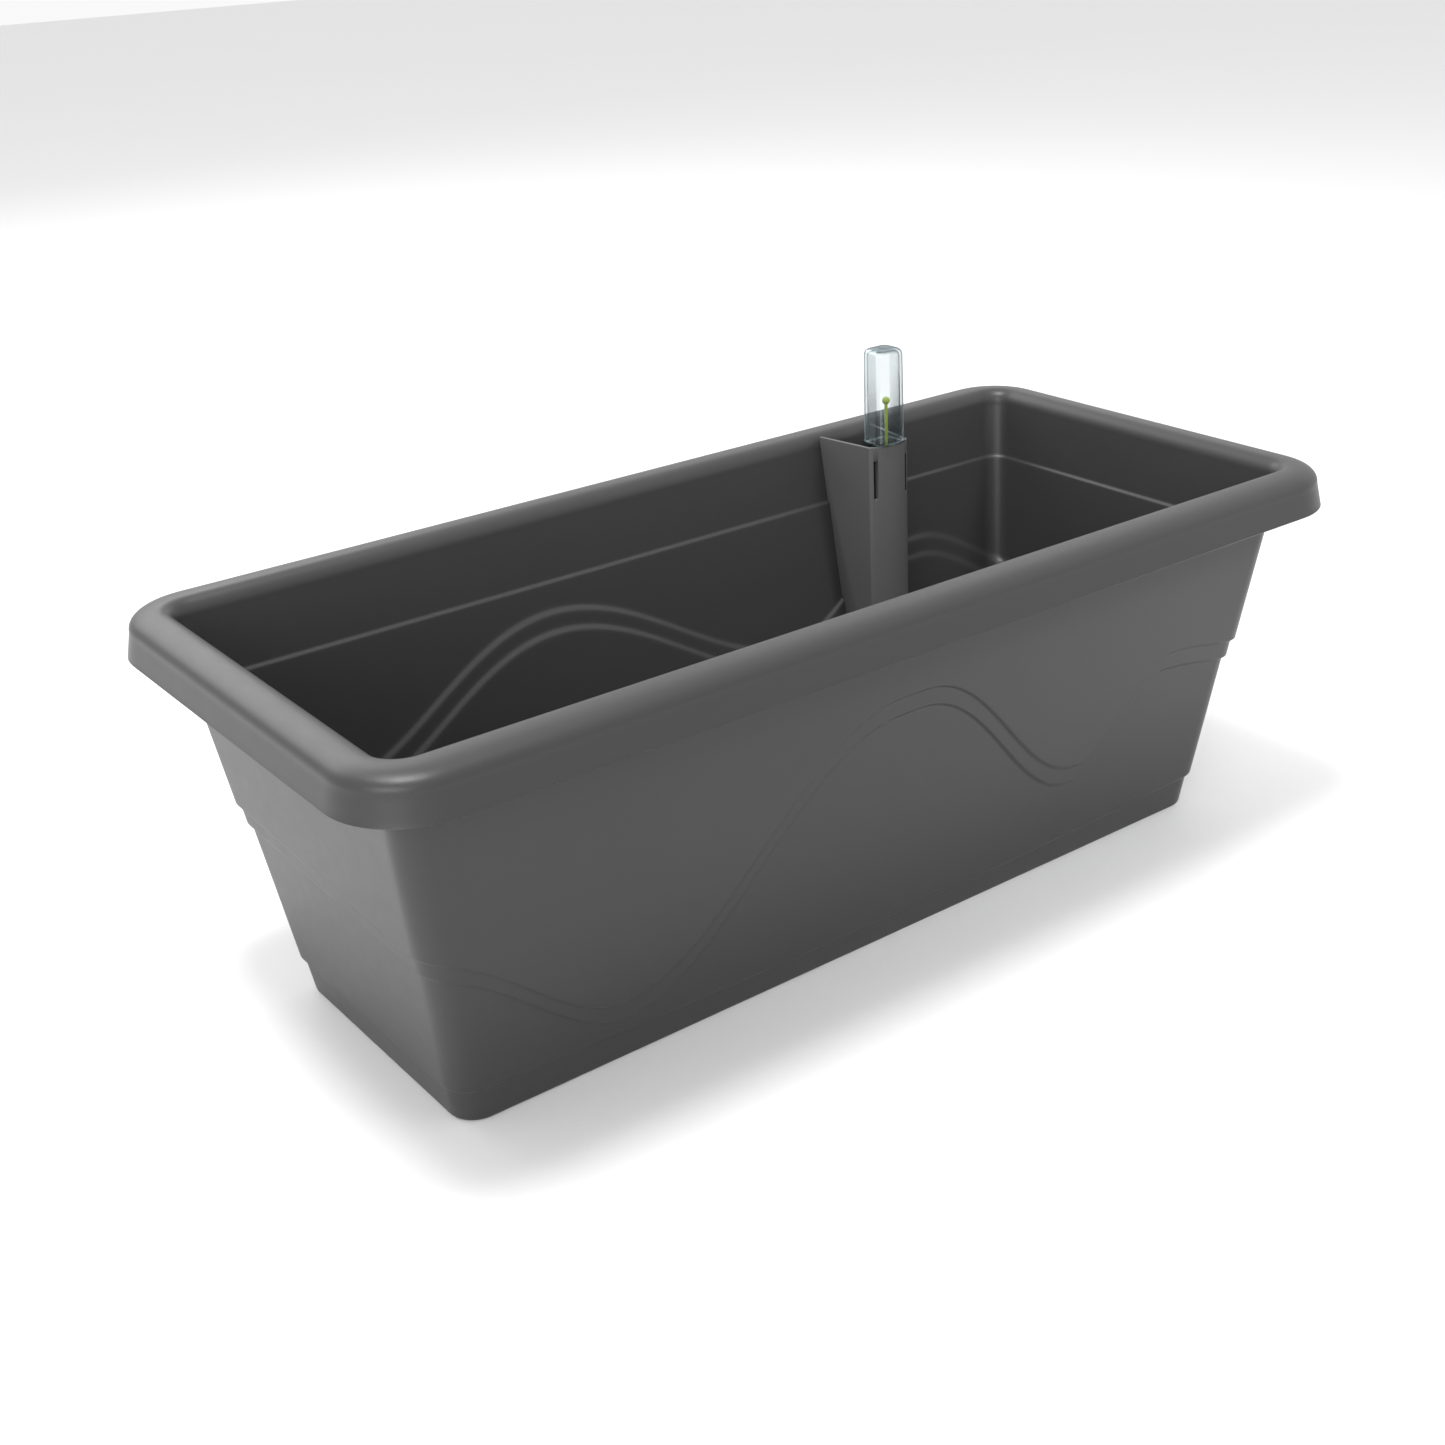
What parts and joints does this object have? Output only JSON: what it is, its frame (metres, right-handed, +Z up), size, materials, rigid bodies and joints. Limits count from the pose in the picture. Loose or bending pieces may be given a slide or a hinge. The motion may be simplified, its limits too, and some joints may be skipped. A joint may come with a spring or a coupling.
{
  "type": "self-watering planter",
  "caption": "Rectangular self-watering window box with a rolled rim, wave relief, lift-out water divider, wick baskets, filler shaft and float gauge.",
  "frame": {"origin": "centre of the base, on the surface the box stands on", "axes": "+X along the box to the end near the gauge, +Y to the side with the filler shaft, +Z up"},
  "size_m": [0.5, 0.236, 0.2205],
  "materials": {
    "anthracite_plastic": "satin moulded polypropylene, anthracite grey",
    "divider_plastic": "satin moulded polypropylene, near black",
    "clear_plastic": "clear moulded polystyrene, polished",
    "indicator_plastic": "glossy yellow-green plastic",
    "float_foam": "closed-cell foam, off-white",
    "seal_rubber": "soft black rubber"
  },
  "bodies": {
    "box": {"planter_box": "anthracite_plastic"},
    "divider": {"water_divider": "divider_plastic"},
    "basket_1": {"wick_basket_1": "divider_plastic"},
    "basket_2": {"wick_basket_2": "divider_plastic"},
    "basket_3": {"wick_basket_3": "divider_plastic"},
    "shaft": {"filler_shaft": "anthracite_plastic", "rod_guide": "divider_plastic"},
    "gauge": {"gauge_tube": "clear_plastic"},
    "float": {"float_body": "float_foam", "float_rod": "indicator_plastic"},
    "plug": {"overflow_plug": "anthracite_plastic", "plug_seal": "seal_rubber"}
  },
  "joints": [
    {"name": "divider_lift", "type": "slide", "parent": "box", "child": "divider", "axis": [0, 0, 1], "range_m": [0, 0.12]},
    {"name": "basket_1_lift", "type": "slide", "parent": "divider", "child": "basket_1", "axis": [0, 0, 1], "range_m": [0, 0.06]},
    {"name": "basket_2_lift", "type": "slide", "parent": "divider", "child": "basket_2", "axis": [0, 0, 1], "range_m": [0, 0.06]},
    {"name": "basket_3_lift", "type": "slide", "parent": "divider", "child": "basket_3", "axis": [0, 0, 1], "range_m": [0, 0.06]},
    {"name": "shaft_lift", "type": "slide", "parent": "divider", "child": "shaft", "axis": [0, 0, 1], "range_m": [0, 0.06]},
    {"name": "gauge_pull", "type": "slide", "parent": "shaft", "child": "gauge", "axis": [0, 0, 1], "range_m": [0, 0.04]},
    {"name": "float_rise", "type": "slide", "parent": "shaft", "child": "float", "axis": [0, 0, 1], "range_m": [0, 0.021]},
    {"name": "plug_pull", "type": "slide", "parent": "box", "child": "plug", "axis": [0.9918, 0, -0.1279], "range_m": [0, 0.014]}
  ]
}
